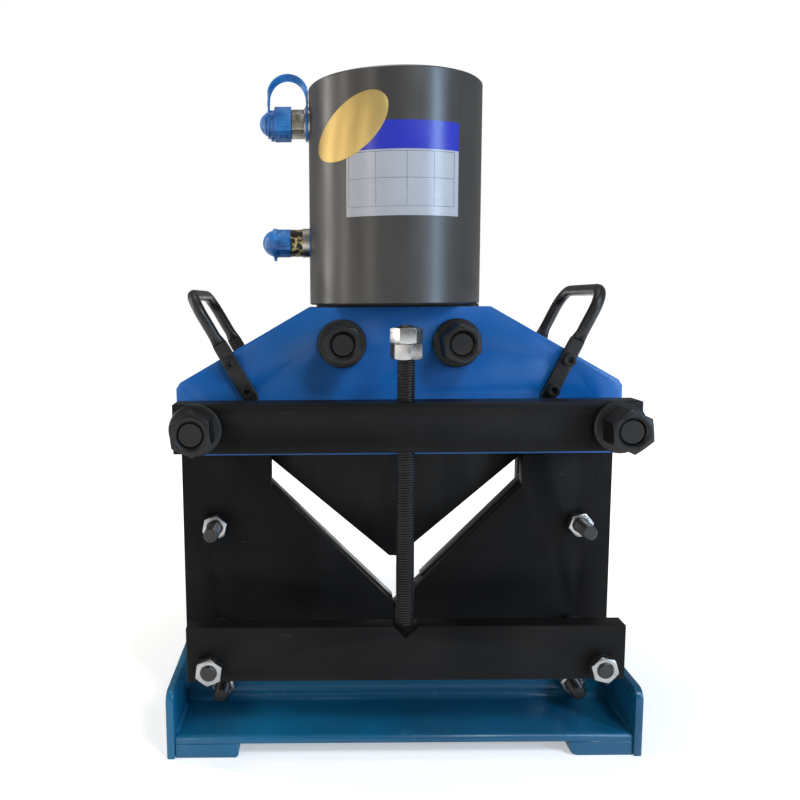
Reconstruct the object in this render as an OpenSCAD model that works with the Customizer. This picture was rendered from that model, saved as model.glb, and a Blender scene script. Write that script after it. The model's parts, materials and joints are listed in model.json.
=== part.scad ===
// Hydraulic angle iron cutter, free standing, front towards -Y, feet on Z = 0

/* [Plates] */
// Half width of the head and die plates
half_w = 231; // [222:1:250]
// Thickness of each head plate
head_t = 20; // [16:1:28]
// Height of the head plates
head_h = 153; // [145:1:175]
// Height of the upright side edge of the head plates
head_side_h = 74.5; // [66:0.5:85]
// Half length of the top edge of the head plates
head_top_half = 93.5; // [88:0.5:110]
// Overlap of the head plates over the die plates
head_overlap = 62; // [56:1:70]
// Corner radius of the head plates
head_corner_r = 9; // [4:1:14]
// Thickness of each die plate
die_t = 16; // [12:1:24]
// Height of the die plates
die_h = 345; // [335:1:375]

/* [Cutting] */
// Thickness of the moving blade
blade_t = 24; // [18:1:28]
// Thickness of the fixed blades
knife_t = 14.9; // [12:0.1:20]
// Running gap on the faces of the moving blade
slide_gap = 0.1; // [0.05:0.05:0.2]
// Height of the V corner as a share of the die plates' height
v_share = 0.3246; // [0.32:0.0001:0.35]
// Inset of the front window from the blade guides
window_inset = 13; // [10:1:28]
// Drop of the rear V corner below the front one
rear_drop = 30; // [24:1:36]
// Gap between the fixed blades and the bottom spacer
knife_gap = 7; // [3:1:16]
// Open height between the V corner and the blade tip
open_gap = 45; // [38:1:55]
// Rise of the blade's side corners above the head plates' bottom
blade_side_rise = 12.2; // [6:0.1:16]
// Half width of the flat blade tip
tip_half = 5.4; // [4:0.1:8]
// Stroke of the ram
stroke = 60; // [50:1:70]
// Width of the blade guides
guide_w = 83; // [76:1:86]
// Depth of the groove in the blade guides
groove_deep = 20; // [14:1:22]
// Height of the bottom spacer
spacer_h = 55; // [53:1:60]
// Height of the blade side edges
blade_side_h = 29; // [24:1:36]
// Width of the blade tang
tang_w = 60; // [48:1:62]
// Height of the blade tang
tang_h = 59; // [52:1:66]
// Diameter of the blade pin
pin_d = 24; // [20:1:26]

/* [Cylinder] */
// Outer radius of the cylinder
cyl_r = 92; // [89:1:100]
// Wall of the cylinder
cyl_wall = 22; // [20:1:26]
// Gap between the head plates and the cylinder
cyl_gap = 2.6; // [2:0.1:5]
// Thickness of the cylinder floor
floor_t = 55.4; // [52:0.1:70]
// Room under the piston at full stroke
bottom_room = 19; // [17:1:24]
// Height of the piston
piston_h = 50; // [44:1:60]
// Room above the piston at rest
top_room = 15; // [13:1:20]
// Thickness of the cylinder cover
cover_t = 28; // [22:1:36]
// Radius of the piston rod
rod_r = 35; // [33:0.5:36]
// Depth of the cylinder lug between the head plates
lug_h = 75; // [68:1:80]

/* [Fasteners] */
// Diameter of the tie studs
tie_d = 24; // [20:1:24]
// Half spacing of the head studs
head_stud_x = 59; // [57:1:64]
// Drop of the head studs below the head plates' top
head_stud_drop = 37; // [34:1:40]
// Distance of the corner studs from the plates' side edges
corner_inset = 32; // [30:1:40]
// Rise of the corner studs above the head plates' bottom
corner_rise = 40.5; // [30:0.5:42]
// Width across flats of the collar nuts
collar_nut_af = 36; // [32:1:38]
// Height of the collar nuts
collar_nut_h = 36; // [30:1:40]
// Diameter of the nut collar
collar_d = 50; // [46:1:52]
// Diameter of the clamp studs
clamp_d = 16; // [14:1:18]
// Width across flats of the clamp nuts
clamp_nut_af = 24; // [22:1:25]
// Height of the clamp nuts
clamp_nut_h = 13; // [11:1:16]

/* [Front bars] */
// Distance of the crossbar's ends from the plates' side edges
cross_inset = 10; // [0:1:14]
// Height of the crossbar
cross_h = 47.5; // [42:0.5:56]
// Thickness of the crossbar
cross_t = 30; // [26:1:36]
// Gap between the crossbar and the head plate
cross_gap = 51; // [47:1:60]
// Distance of the support bar's ends from the plates' side edges
support_inset = 16; // [4:1:22]
// Height of the support bar
support_h = 55; // [50:1:56]
// Thickness of the support bar
support_t = 20; // [16:1:26]
// Depth of the notch in the support bar
notch_deep = 12.3; // [11:0.1:15]
// Diameter of the hold-down screw
screw_d = 18; // [16:0.5:18]
// Drop of the hold-down screw's top below the head plates' top
screw_drop = 16.5; // [2:0.5:24]
// Width across flats of the jam nuts
jam_af = 27; // [25:1:30]
// Height of each jam nut
jam_h = 15; // [12:1:18]

/* [Base] */
// Outward leg of the base angles
base_out = 86; // [74:1:95]
// Room between the support studs' axis and the base angles
angle_room = 18; // [17:1:26]
// Thickness of the base angles
base_t = 8; // [6:1:9]
// Thickness of the end plates
end_t = 8; // [6:1:12]
// Height of the end plates
end_h = 70; // [62:1:90]
// Thickness of the foot bars
foot_t = 15; // [12:1:20]
// Width of the foot bars
foot_w = 64; // [50:1:80]

/* [Handles] */
// Radius of the handle rod
grip_r = 6; // [5.5:0.5:7]
// Lean of the left handle in degrees
left_lean = 29.5; // [20:0.5:32]
// Lean of the right handle in degrees
right_lean = 26.5; // [20:0.5:32]
// Distance of the lower handle screws from the plates' side edges
handle_inset = 74.5; // [69:0.5:81]
// Height of the lower handle screw above the head plates' bottom
handle_rise = 66.7; // [60:0.1:68]
// Distance from the lower handle screw to the grip
handle_reach = 114.5; // [100:0.5:125]
// Distance between the two screws of a handle leg
handle_pitch = 35; // [28:1:38]
// Width of the flattened handle end
strip_w = 15.5; // [14:0.5:18]
// Thickness of the flattened handle end
strip_t = 6; // [4:0.5:8]
// Diameter of the handle screws
handle_screw_d = 8; // [6:1:8]

/* [Couplings] */
// Radius of the coupling seats
seat_r = 16.2; // [15.5:0.1:18]
// Radius of the coupling threads under the caps
male_r = 10; // [8:0.5:10.5]

/* [Hidden] */
$fn = 64;

// Overrun of every cut past its face
over = 2;
// Radial clearance of studs in their holes
hole_gap = 0.25;
// Radial clearance of nuts on their threads
thread_gap = 0.05;
// Radial clearance of running fits
run_gap = 0.05;
// Side clearance of the blade and the lug
side_gap = 0.2;
// Depth by which a stud end lies inside its collar nut
stud_recess = 3;

// Distances of the faces from the cutting plane
gap_half = blade_t / 2 + slide_gap + knife_t;
die_out = gap_half + die_t;
head_out = die_out + head_t;
cross_back = head_out + cross_gap;
cross_front = cross_back + cross_t;
screw_y = cross_back + cross_t / 2;
support_front = screw_y + support_t / 2;
support_back = screw_y - support_t / 2;
base_reach = die_out + base_out;
end_over = 2.5;
end_reach = base_reach + end_over;
front_reach = cross_front + collar_nut_h;
tie_reach = head_out + collar_nut_h - stud_recess;
mid_y = (front_reach - end_reach) / 2;

// Heights of the frame
die_bottom = foot_t;
die_top = die_bottom + die_h;
head_bottom = die_top - head_overlap;
head_top = head_bottom + head_h;
head_side = head_bottom + head_side_h;
head_cut = 4;
head_slope = (head_top - head_side) / (half_w - head_top_half);
corner_z = head_bottom + corner_rise;
head_stud_z = head_top - head_stud_drop;
v_z = foot_t + die_h * v_share;
spacer_top = foot_t + spacer_h;
knife_drop = v_z - spacer_top - knife_gap;
tip_z = v_z + open_gap;
guide_in = half_w - guide_w;
window_half = guide_in - window_inset;
blade_half = guide_in + groove_deep - side_gap;
blade_side_z = head_bottom + blade_side_rise;
blade_top = blade_side_z + blade_side_h;

// Heights of the cylinder
bore_r = cyl_r - cyl_wall;
cyl_bottom = head_top + cyl_gap;
chamber_bottom = cyl_bottom + floor_t;
piston_bottom = chamber_bottom + bottom_room + stroke;
piston_top = piston_bottom + piston_h;
chamber_top = piston_top + top_room;
cyl_top = chamber_top + cover_t;
lug_bottom = head_top - lug_h;
bush_h = 28;
seal_h = 12;
gland_h = 8;
gland_wall = 7;
gland_r = rod_r + gland_wall;
gland_z = chamber_bottom - gland_h - seal_h - bush_h;
wiper_h = 8;
wiper_wall = 5;
wiper_r = rod_r + wiper_wall;
neck_gap = 1;
neck_r = rod_r + neck_gap;
lug_half = 85;

// Heights and places of the clamp studs
corner_stud_x = half_w - corner_inset;
cross_half = half_w - cross_inset;
support_half = half_w - support_inset;
handle_x = half_w - handle_inset;
die_stud_inset = 35;
die_stud_x = half_w - die_stud_inset;
die_stud_share = 0.587;
die_stud_z = foot_t + die_h * die_stud_share;
base_stud_inset = 41;
base_stud_x = half_w - base_stud_inset;
base_stud_rise = 28;
base_stud_z = foot_t + base_stud_rise;
support_stud_inset = 39;
support_stud_x = half_w - support_stud_inset;
support_rise = 14.3;
support_top = v_z + support_rise;
support_bottom = support_top - support_h;
support_stud_rise = 14.7;
support_stud_z = support_bottom + support_stud_rise;
base_up = support_stud_z - foot_t - angle_room;
front_stick = 41;
rear_stick = 26;
nut_stick = 2;
support_stick = support_front + clamp_nut_h + nut_stick;

// Hold-down screw
tip_chamfer = 3;
tip_rise = 13;
screw_tip_z = v_z + tip_rise;
screw_top = head_top - screw_drop;
screw_len = screw_top - screw_tip_z;
jam_drop = 2.3;
jam_top = screw_top - jam_drop;

// Small sizes of single pieces
window_relief_r = 4;
window_drop = 2;
rear_step = 1;
notch_r = 6;
notch_x = 25;
notch_sink = 3;
knife_screw_r = 4;
knife_head_r = 8;
knife_screw_len = 24;
knife_screw_shares = [0.22, 0.52, 0.82];
knife_short = 4;
knife_half = guide_in - knife_short;
rear_half = guide_in - rear_step;
sleeve_wall = 4.75;
chamfer = 1.5;
pin_len = 62;
pin_z = blade_top + tang_h / 2;
spigot_r = 22.5;
piston_nut_af = 65;
piston_nut_h = 20;
piston_nut_room = 40;
ring_h = 10;
ring_deep = 6;
piston_ring_z = piston_bottom + (piston_h - ring_h) / 2;
cover_wall = 5;
cover_seal_h = 4;
cover_seal_deep = 3;
cover_r = bore_r + cover_wall;
groove_z = chamber_top + (cover_t - cover_seal_h) / 2;
spanner_r = 5;
spanner_deep = 12;
spanner_circle_share = 0.68;
base_fillet_r = 7;
toe_r = 5;
end_corner_r = 12;
handle_bend_r = 18;
strip_end = 14;
strip_top = 58;
handle_head_r = 6.5;
handle_head_h = 8;
handle_socket_af = 6;
handle_screw_deep = 14;
nut_chamfer = 2;
nut_bevel_share = 1.2;
collar_h = 6;

// Couplings
port_r = 9;
port_deep = 12;
oil_r = 4;
seat_deep = 1.5;
seat_x = cyl_r - seat_deep;
upper_port_drop = 7.5;
upper_port_z = chamber_top - upper_port_drop;
lower_port_rise = 11.2;
lower_port_z = chamber_bottom + lower_port_rise;
coupling_hex_af = 27;
lower_body_r = 14.6;
// Lengths of a coupling from its seat: washer or collar, body, thread under the cap
upper_parts = [6, 13.7, 15];
lower_parts = [9, 13, 14];
cap_af = [32, 26];
cap_hex = [17.8, 14.3];
cap_gap = 0.3;
cap_wall = 3;
cap_dome_len = 11.5;
cap_ring_len = 4.4;
cap_ring_r = [14.4, 15.8];
strap_t = 2.4;
strap_w = 10;
strap_rise = 9.5;
strap_ring_t = 3;
seat_ring_t = 1.6;
collar_step = 0.6;
strap_ring_wall = 2;
cap_nub_r = 1.8;
cap_nub_h = 3;

// Stickers on the cylinder
sticker_t = 0.25;
// Room behind a sticker
sticker_gap = 0.1;
label_rise = 31;
label_h = 90;
label_low = chamber_bottom + label_rise;
label_high = label_low + label_h;
label_left = -36;
label_right = 38;
oval_x = -48;
oval_drop = 3;
oval_z = label_high - oval_drop;
oval_long = 40.5;
oval_short = 23;
oval_tilt = -42;
oval_points = 40;

// Everything is placed from the cutting plane, moved so that the box is centred
module at_mid() translate([0, mid_y, 0]) children();

// A flat outline in X and Z, given a thickness from y0 towards +Y
module plate(y0, t) translate([0, y0 + t, 0]) rotate([90, 0, 0]) linear_extrude(t) children();

// A hole along Y through everything
module y_hole(x, z, r) {
    translate([x, front_reach + over, z]) rotate([90, 0, 0]) cylinder(r = r, h = 2 * front_reach + 2 * over);
}

// Outline of a head plate
module head_outline() {
    polygon([
        [-half_w + head_corner_r, head_bottom], [half_w - head_corner_r, head_bottom],
        [half_w, head_bottom + head_corner_r], [half_w, head_side - head_cut],
        [half_w - head_cut, head_side + head_cut * head_slope], [head_top_half, head_top],
        [-head_top_half, head_top], [-half_w + head_cut, head_side + head_cut * head_slope],
        [-half_w, head_side - head_cut], [-half_w, head_bottom + head_corner_r]
    ]);
    for (side = [-1, 1])
        translate([side * (half_w - head_corner_r), head_bottom + head_corner_r]) circle(r = head_corner_r);
}

// Screws of one handle, as places along its leg
module at_handle_screws() {
    for (side = [0, 1]) mirror([side, 0, 0])
        translate([handle_x, 0, head_bottom + handle_rise])
            rotate([0, side > 0 ? left_lean : right_lean, 0])
                for (s = [0, handle_pitch]) translate([0, 0, s]) children();
}

module head_plate(face) {
    color([0.07, 0.41, 0.82]) at_mid() difference() {
        plate(face > 0 ? die_out : -head_out, head_t) head_outline();
        for (side = [-1, 1]) {
            y_hole(side * head_stud_x, head_stud_z, tie_d / 2 + hole_gap);
            y_hole(side * corner_stud_x, corner_z, tie_d / 2 + hole_gap);
        }
        at_handle_screws() translate([0, face * (head_out + over), 0]) rotate([face * 90, 0, 0])
            cylinder(r = handle_screw_d / 2 + thread_gap, h = handle_screw_deep + over + chamfer);
    }
}

module front_head_plate() head_plate(-1);
module rear_head_plate() head_plate(1);

// Window of a die plate, open to the top
module window_outline(half, corner_z0) {
    polygon([
        [0, corner_z0], [half, corner_z0 + half], [half, die_top + over],
        [-half, die_top + over], [-half, corner_z0 + half]
    ]);
    translate([0, corner_z0]) circle(r = window_relief_r);
}

module die_plate(face, half, corner_z0) {
    color([0.1, 0.1, 0.1]) at_mid() difference() {
        plate(face > 0 ? gap_half : -die_out, die_t) difference() {
            translate([-half_w, die_bottom]) square([2 * half_w, die_h]);
            window_outline(half, corner_z0);
        }
        stud_holes();
        if (face < 0) knife_screw_places() cylinder(r = knife_screw_r + thread_gap, h = knife_screw_len);
    }
}

module stud_holes() {
    for (side = [-1, 1]) {
        y_hole(side * corner_stud_x, corner_z, tie_d / 2 + hole_gap);
        y_hole(side * die_stud_x, die_stud_z, clamp_d / 2 + hole_gap);
        y_hole(side * base_stud_x, base_stud_z, clamp_d / 2 + hole_gap);
        y_hole(side * support_stud_x, support_stud_z, clamp_d / 2 + hole_gap);
    }
}

module front_die_plate() die_plate(-1, window_half, v_z - window_drop);
module rear_die_plate() die_plate(1, rear_half, v_z - rear_drop);

// A blade guide: a block between the die plates with an upright groove for the blade's side
module guide(side) {
    color([0.16, 0.16, 0.17]) at_mid() difference() {
        mirror([side < 0 ? 1 : 0, 0, 0]) difference() {
            translate([guide_in, -gap_half, spacer_top])
                cube([guide_w, 2 * gap_half, die_top - spacer_top]);
            translate([guide_in - over, -blade_t / 2 - slide_gap, spacer_top - over])
                cube([groove_deep + over, blade_t + 2 * slide_gap, die_top - spacer_top + 2 * over]);
        }
        stud_holes();
    }
}

module left_guide() guide(-1);
module right_guide() guide(1);

module bottom_spacer() {
    color([0.16, 0.16, 0.17]) at_mid() difference() {
        translate([-half_w, -gap_half, die_bottom]) cube([2 * half_w, 2 * gap_half, spacer_h]);
        stud_holes();
    }
}

// Places of the countersunk screws, at the blades' rear face and pointing to the front
module knife_screw_places() {
    for (side = [-1, 1]) for (share = knife_screw_shares)
        translate([side * knife_half * share, knife_t - gap_half, v_z + knife_half * share - knife_drop / 2])
            rotate([90, 0, 0]) children();
}

module knife_screw() {
    cylinder(r1 = knife_head_r, r2 = knife_screw_r, h = knife_head_r - knife_screw_r);
    cylinder(r = knife_screw_r, h = knife_screw_len);
}

module fixed_blade(side) {
    color([0.3, 0.3, 0.31]) at_mid() difference() {
        plate(-gap_half, knife_t) difference() {
            polygon([
                [0, v_z], [side * knife_half, v_z + knife_half],
                [side * knife_half, v_z + knife_half - knife_drop], [0, v_z - knife_drop]
            ]);
            translate([0, v_z]) circle(r = window_relief_r);
            translate([notch_x, v_z + notch_x - notch_sink]) circle(r = notch_r);
        }
        knife_screw_places() {
            knife_screw();
            translate([0, 0, -over]) cylinder(r = knife_head_r, h = over);
        }
    }
}

module left_fixed_blade() fixed_blade(-1);
module right_fixed_blade() fixed_blade(1);

module fixed_blade_screws() color([0.2, 0.2, 0.2]) at_mid() knife_screw_places() knife_screw();

// Section of a base angle: corner at the origin, one leg up and one leg to +X
module angle_section() {
    difference() {
        union() {
            square([base_out - toe_r, base_t]);
            square([base_out, base_t - toe_r]);
            translate([base_out - toe_r, base_t - toe_r]) circle(r = toe_r);
            square([base_t, base_up]);
            square(base_t + base_fillet_r);
        }
        translate([base_t + base_fillet_r, base_t + base_fillet_r]) circle(r = base_fillet_r);
        translate([base_t + base_fillet_r, base_t]) square([base_fillet_r, base_fillet_r]);
        translate([base_t, base_t + base_fillet_r]) square([base_fillet_r, base_fillet_r]);
        translate([0, -base_t]) square([base_out + over, base_t]);
    }
}

module base_angle(face) {
    color([0.08, 0.36, 0.6]) at_mid() difference() {
        translate([-half_w, face * die_out, foot_t]) rotate([90, 0, 90])
            linear_extrude(2 * half_w) mirror([face < 0 ? 1 : 0, 0]) angle_section();
        stud_holes();
    }
}

module front_base_angle() base_angle(-1);
module rear_base_angle() base_angle(1);

module end_outline() {
    difference() {
        translate([-end_reach, 0]) square([2 * end_reach, end_h]);
        for (side = [0, 1]) mirror([side, 0])
            translate([end_reach - end_corner_r, end_h - end_corner_r]) difference() {
                square(end_corner_r + over);
                circle(r = end_corner_r);
            }
    }
}

module end_plate(x) {
    color([0.08, 0.36, 0.6]) at_mid()
        translate([x, 0, 0]) rotate([90, 0, 90]) linear_extrude(end_t) end_outline();
}

module left_end_plate() end_plate(-half_w - end_t);
module right_end_plate() end_plate(half_w);

module foot_bar(x) {
    color([0.08, 0.36, 0.6]) at_mid() translate([x, -base_reach, 0]) cube([foot_w, 2 * base_reach, foot_t]);
}

module left_foot_bar() foot_bar(-half_w);
module right_foot_bar() foot_bar(half_w - foot_w);

// A port in the side of the barrel: a flat seat, a thread and an oil way
module port(z) {
    translate([-cyl_r - over, 0, z]) rotate([0, 90, 0]) {
        cylinder(r = seat_r + hole_gap, h = seat_deep + over);
        cylinder(r = port_r, h = over + seat_deep + port_deep);
        cylinder(r = oil_r, h = over + cyl_r - bore_r + over);
    }
}

module cylinder_barrel() {
    color([0.31, 0.31, 0.29]) at_mid() difference() {
        union() {
            translate([0, 0, cyl_bottom]) cylinder(r1 = cyl_r - chamfer, r2 = cyl_r, h = chamfer);
            translate([0, 0, cyl_bottom + chamfer])
                cylinder(r = cyl_r, h = cyl_top - cyl_bottom - 2 * chamfer);
            translate([0, 0, cyl_top - chamfer]) cylinder(r1 = cyl_r, r2 = cyl_r - chamfer, h = chamfer);
        }
        translate([0, 0, chamber_bottom]) cylinder(r = bore_r, h = cyl_top - chamber_bottom + over);
        translate([0, 0, chamber_top]) cylinder(r = cover_r, h = cover_t + over);
        translate([0, 0, gland_z]) cylinder(r = gland_r, h = chamber_bottom - gland_z + over);
        translate([0, 0, cyl_bottom - over]) cylinder(r = neck_r, h = gland_z - cyl_bottom + 2 * over);
        port(upper_port_z);
        port(lower_port_z);
    }
}

// The block under the barrel, held between the head plates
module cylinder_foot() {
    color([0.31, 0.31, 0.29]) at_mid() difference() {
        translate([-lug_half, -die_out + side_gap, lug_bottom])
            cube([2 * lug_half, 2 * die_out - 2 * side_gap, cyl_bottom - lug_bottom]);
        translate([0, 0, lug_bottom - over]) cylinder(r = neck_r, h = cyl_bottom - lug_bottom + 2 * over);
        translate([0, 0, lug_bottom - over]) cylinder(r = wiper_r, h = wiper_h + over);
        for (side = [-1, 1]) y_hole(side * head_stud_x, head_stud_z, tie_d / 2 + hole_gap);
    }
}

module cylinder_cover() {
    color([0.31, 0.31, 0.29]) at_mid() difference() {
        translate([0, 0, chamber_top]) cylinder(r = cover_r - thread_gap, h = cover_t - chamfer);
        translate([0, 0, groove_z]) difference() {
            cylinder(r = cover_r + over, h = cover_seal_h);
            translate([0, 0, -over]) cylinder(r = cover_r - cover_seal_deep, h = cover_seal_h + 2 * over);
        }
        for (a = [45 : 90 : 315]) rotate([0, 0, a])
            translate([bore_r * spanner_circle_share, 0, cyl_top - spanner_deep])
                cylinder(r = spanner_r, h = spanner_deep + over);
    }
}

// A ring round the cylinder axis
module ring(z, h, r_in, r_out) {
    at_mid() translate([0, 0, z]) difference() {
        cylinder(r = r_out, h = h);
        translate([0, 0, -over]) cylinder(r = r_in, h = h + 2 * over);
    }
}

module cover_seal() color([0.08, 0.08, 0.08])
    ring(groove_z, cover_seal_h, cover_r - cover_seal_deep, cover_r - thread_gap);

// A ring in the gland bore round the rod
module gland_part(z, h) ring(z, h, rod_r + run_gap, gland_r - thread_gap);

module guide_bush() color([0.72, 0.55, 0.3]) gland_part(gland_z, bush_h);
module rod_seal() color([0.1, 0.2, 0.45]) gland_part(gland_z + bush_h, seal_h);
module gland_ring() color([0.5, 0.5, 0.5]) gland_part(chamber_bottom - gland_h, gland_h);
module rod_wiper() color([0.08, 0.08, 0.08])
    ring(lug_bottom, wiper_h, rod_r + run_gap, wiper_r - thread_gap);

// A stud along Y between two distances from the cutting plane
module stud(x, z, d, front, rear) {
    translate([x, rear, z]) rotate([90, 0, 0]) {
        cylinder(r1 = d / 2 - chamfer, r2 = d / 2, h = chamfer);
        translate([0, 0, chamfer]) cylinder(r = d / 2, h = front + rear - 2 * chamfer);
        translate([0, 0, front + rear - chamfer]) cylinder(r1 = d / 2, r2 = d / 2 - chamfer, h = chamfer);
    }
}

module head_studs() {
    color([0.09, 0.09, 0.09]) at_mid() for (side = [-1, 1])
        stud(side * head_stud_x, head_stud_z, tie_d, tie_reach, tie_reach);
}

module corner_studs() {
    color([0.09, 0.09, 0.09]) at_mid() for (side = [-1, 1])
        stud(side * corner_stud_x, corner_z, tie_d, front_reach - stud_recess, tie_reach);
}

// A hex with its outer end chamfered, standing on z = 0, with a bore
module hex_nut(af, h, r_bore, both_ends = false) {
    r_corner = af / sqrt(3);
    low = both_ends ? nut_chamfer : 0;
    difference() {
        intersection() {
            cylinder(r = r_corner, h = h, $fn = 6);
            rotate_extrude() polygon([
                [0, 0], [r_corner - low * nut_bevel_share, 0], [r_corner, low / 2],
                [r_corner, h - nut_chamfer / 2], [r_corner - nut_chamfer * nut_bevel_share, h], [0, h]
            ]);
        }
        translate([0, 0, -over]) cylinder(r = r_bore, h = h + 2 * over);
    }
}

// Turns a piece that stands on z = 0 so that it points to the front or the rear
module facing(face) rotate([face < 0 ? 90 : -90, 0, 0]) children();

module collar_nut() {
    hex_nut(collar_nut_af, collar_nut_h, tie_d / 2 + thread_gap);
    difference() {
        union() {
            cylinder(r = collar_d / 2, h = collar_h - chamfer);
            translate([0, 0, collar_h - chamfer])
                cylinder(r1 = collar_d / 2, r2 = collar_d / 2 - chamfer, h = chamfer);
        }
        translate([0, 0, -over]) cylinder(r = tie_d / 2 + thread_gap, h = collar_h + 2 * over);
    }
}

module collar_nuts() {
    color([0.1, 0.1, 0.1]) at_mid() for (side = [-1, 1]) {
        translate([side * corner_stud_x, -cross_front, corner_z]) facing(-1) collar_nut();
        translate([side * corner_stud_x, head_out, corner_z]) facing(1) collar_nut();
        translate([side * head_stud_x, -head_out, head_stud_z]) facing(-1) collar_nut();
        translate([side * head_stud_x, head_out, head_stud_z]) facing(1) collar_nut();
    }
}

module crossbar() {
    color([0.1, 0.1, 0.1]) at_mid() difference() {
        translate([-cross_half, -cross_front, corner_z - cross_h / 2])
            cube([2 * cross_half, cross_t, cross_h]);
        for (side = [-1, 1]) y_hole(side * corner_stud_x, corner_z, tie_d / 2 + hole_gap);
        translate([0, -screw_y, corner_z - cross_h / 2 - over])
            cylinder(r = screw_d / 2 + run_gap, h = cross_h + 2 * over);
    }
}

module crossbar_sleeves() {
    color([0.12, 0.12, 0.12]) at_mid() for (side = [-1, 1])
        translate([side * corner_stud_x, -head_out, corner_z]) rotate([90, 0, 0]) difference() {
            cylinder(r = tie_d / 2 + sleeve_wall, h = cross_gap);
            translate([0, 0, -over]) cylinder(r = tie_d / 2 + hole_gap, h = cross_gap + 2 * over);
        }
}

module support_bar() {
    notch_cut = notch_deep + over;
    color([0.1, 0.1, 0.1]) at_mid() difference() {
        plate(-support_front, support_t) difference() {
            translate([-support_half, support_bottom]) square([2 * support_half, support_h]);
            translate([0, support_top - notch_deep])
                polygon([[0, 0], [notch_cut, notch_cut], [-notch_cut, notch_cut]]);
        }
        for (side = [-1, 1]) y_hole(side * support_stud_x, support_stud_z, clamp_d / 2 + hole_gap);
    }
}

module support_studs() {
    color([0.09, 0.09, 0.09]) at_mid() for (side = [-1, 1])
        stud(side * support_stud_x, support_stud_z, clamp_d, support_stick, die_out + rear_stick);
}

module die_studs() {
    color([0.09, 0.09, 0.09]) at_mid() for (side = [-1, 1]) {
        stud(side * die_stud_x, die_stud_z, clamp_d, die_out + front_stick, die_out + rear_stick);
        stud(side * base_stud_x, base_stud_z, clamp_d, die_out + front_stick, die_out + rear_stick);
    }
}

// A clamp nut whose seat is at the given distance from the cutting plane
module clamp_nut(x, y, z, face) {
    translate([x, y, z]) facing(face) hex_nut(clamp_nut_af, clamp_nut_h, clamp_d / 2 + thread_gap, true);
}

module clamp_nuts() {
    color([0.75, 0.75, 0.73]) at_mid() for (side = [-1, 1]) {
        clamp_nut(side * die_stud_x, -die_out, die_stud_z, -1);
        clamp_nut(side * die_stud_x, die_out, die_stud_z, 1);
        clamp_nut(side * base_stud_x, -die_out - base_t, base_stud_z, -1);
        clamp_nut(side * base_stud_x, die_out + base_t, base_stud_z, 1);
        clamp_nut(side * support_stud_x, -support_front, support_stud_z, -1);
        clamp_nut(side * support_stud_x, -support_back, support_stud_z, 1);
        clamp_nut(side * support_stud_x, -die_out, support_stud_z, -1);
        clamp_nut(side * support_stud_x, die_out, support_stud_z, 1);
    }
}

// One leg of a handle in its leaning frame: flat end, round rod and the bend to the grip
module handle_leg(face) {
    leg_y = head_out + grip_r;
    bend_z = handle_reach - handle_bend_r;
    strip_low = strip_w / 2 - strip_end;
    difference() {
        translate([0, face * (head_out + strip_t / 2), 0]) rotate([90, 0, 0])
            translate([0, 0, -strip_t / 2]) linear_extrude(strip_t) {
                translate([-strip_w / 2, strip_low]) square([strip_w, strip_top - strip_low]);
                translate([0, strip_low]) circle(r = strip_w / 2);
            }
        for (s = [0, handle_pitch]) translate([0, face * (head_out - over), s]) rotate([-face * 90, 0, 0])
            cylinder(r = handle_screw_d / 2 + hole_gap, h = strip_t + 2 * over);
    }
    translate([0, face * leg_y, strip_top - grip_r]) cylinder(r = grip_r, h = bend_z - strip_top + grip_r);
    translate([0, face * (leg_y - handle_bend_r), bend_z]) rotate([90, 0, face * 90])
        rotate_extrude(angle = 90) translate([handle_bend_r, 0]) circle(r = grip_r);
}

module handle(lean) {
    grip_half = head_out + grip_r - handle_bend_r;
    translate([handle_x, 0, head_bottom + handle_rise]) rotate([0, lean, 0]) {
        handle_leg(-1);
        handle_leg(1);
        translate([0, grip_half, handle_reach]) rotate([90, 0, 0]) cylinder(r = grip_r, h = 2 * grip_half);
    }
}

module right_handle() color([0.12, 0.12, 0.12]) at_mid() handle(right_lean);
module left_handle() color([0.12, 0.12, 0.12]) at_mid() mirror([1, 0, 0]) handle(left_lean);

module handle_screws() {
    color([0.07, 0.07, 0.07]) at_mid() for (face = [-1, 1]) at_handle_screws()
        translate([0, face * (head_out + strip_t), 0]) rotate([-face * 90, 0, 0]) {
            difference() {
                cylinder(r = handle_head_r, h = handle_head_h);
                translate([0, 0, handle_head_h / 2])
                    cylinder(r = handle_socket_af / sqrt(3), h = handle_head_h, $fn = 6);
            }
            translate([0, 0, -strip_t - handle_screw_deep])
                cylinder(r = handle_screw_d / 2, h = strip_t + handle_screw_deep + chamfer);
        }
}

// Puts a piece that stands on z = 0 on a port's seat, pointing to -X
module on_port(z) at_mid() translate([-seat_x, 0, z]) rotate([0, -90, 0]) children();

module coupling(parts, first_r, hexed) {
    full = port_deep + parts[0] + parts[1] + parts[2];
    difference() {
        union() {
            translate([0, 0, -port_deep])
                cylinder(r = port_r - thread_gap, h = port_deep + parts[0] + chamfer);
            translate([0, 0, parts[0]]) {
                if (hexed) cylinder(r = coupling_hex_af / sqrt(3), h = parts[1], $fn = 6);
                else cylinder(r = first_r, h = parts[1]);
            }
            translate([0, 0, parts[0] + parts[1] - chamfer]) cylinder(r = male_r, h = parts[2] + chamfer);
        }
        translate([0, 0, -port_deep - over]) cylinder(r = oil_r, h = full + 2 * over);
    }
}

module upper_coupling() color([0.62, 0.6, 0.55])
    on_port(upper_port_z) coupling(upper_parts, 0, true);
module lower_coupling() color([0.55, 0.5, 0.38])
    on_port(lower_port_z) coupling(lower_parts, lower_body_r, false);

module upper_coupling_washer() color([0.25, 0.25, 0.27])
    on_port(upper_port_z) flat_ring(0, port_r + thread_gap, seat_r, upper_parts[0]);
module lower_coupling_collar() color([0.5, 0.5, 0.48]) on_port(lower_port_z)
    flat_ring(seat_ring_t, port_r + thread_gap, seat_r - collar_step, lower_parts[0] - seat_ring_t);

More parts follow.
